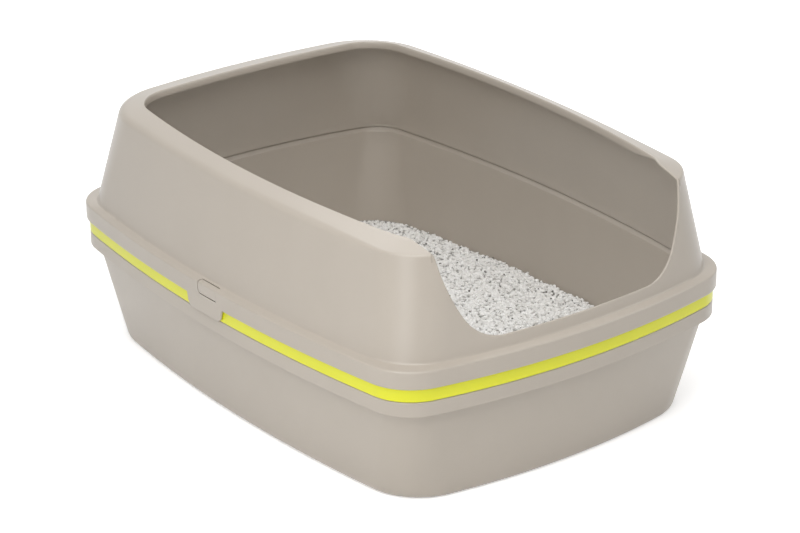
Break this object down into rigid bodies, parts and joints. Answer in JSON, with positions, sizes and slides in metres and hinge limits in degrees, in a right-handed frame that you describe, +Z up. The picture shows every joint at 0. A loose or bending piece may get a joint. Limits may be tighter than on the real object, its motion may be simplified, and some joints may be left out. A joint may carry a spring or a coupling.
{
  "type": "sifting litter box",
  "caption": "Nested litter box: base pan, slotted sifting tray and litter pan under a high removable shield with a low entry notch.",
  "frame": {"origin": "on the floor, under the middle of the box", "axes": "+Z up; +Y along the length, from the entry notch towards the back; +X across the width, so that the latch seen in the picture is on the -X side"},
  "size_m": [0.3724, 0.505, 0.2164],
  "materials": {
    "base_pan": "satin warm grey moulded plastic",
    "sifting_tray": "satin lime yellow moulded plastic",
    "litter_pan": "satin warm grey moulded plastic",
    "litter_bed": "rough pale granules with dark specks",
    "entry_shield": "satin warm grey moulded plastic",
    "latch_tongue_left": "satin warm grey moulded plastic",
    "latch_tongue_right": "satin warm grey moulded plastic"
  },
  "bodies": {
    "base": {"base_pan": "base_pan"},
    "sifter": {"sifting_tray": "sifting_tray"},
    "litter_box": {"litter_pan": "litter_pan", "litter_bed": "litter_bed"},
    "shield": {"entry_shield": "entry_shield"},
    "latch_left": {"latch_tongue_left": "latch_tongue_left"},
    "latch_right": {"latch_tongue_right": "latch_tongue_right"}
  },
  "joints": [
    {"name": "tray_lift", "type": "slide", "parent": "base", "child": "sifter", "axis": [0, 0, 1], "range_m": [0, 0.15]},
    {"name": "pan_lift", "type": "slide", "parent": "sifter", "child": "litter_box", "axis": [0, 0, 1], "range_m": [0, 0.15]},
    {"name": "shield_lift", "type": "slide", "parent": "litter_box", "child": "shield", "axis": [0, 0, 1], "range_m": [0, 0.15]},
    {"name": "latch_left_flex", "type": "hinge", "parent": "shield", "child": "latch_left", "pos_m": [-0.1852, -0.013, 0.12084], "axis": [0, 0, 1], "range_deg": [0, 4], "stiffness_Nm_per_rad": 0.2},
    {"name": "latch_right_flex", "type": "hinge", "parent": "shield", "child": "latch_right", "pos_m": [0.1852, -0.013, 0.12084], "axis": [0, 0, -1], "range_deg": [0, 4], "stiffness_Nm_per_rad": 0.2}
  ]
}
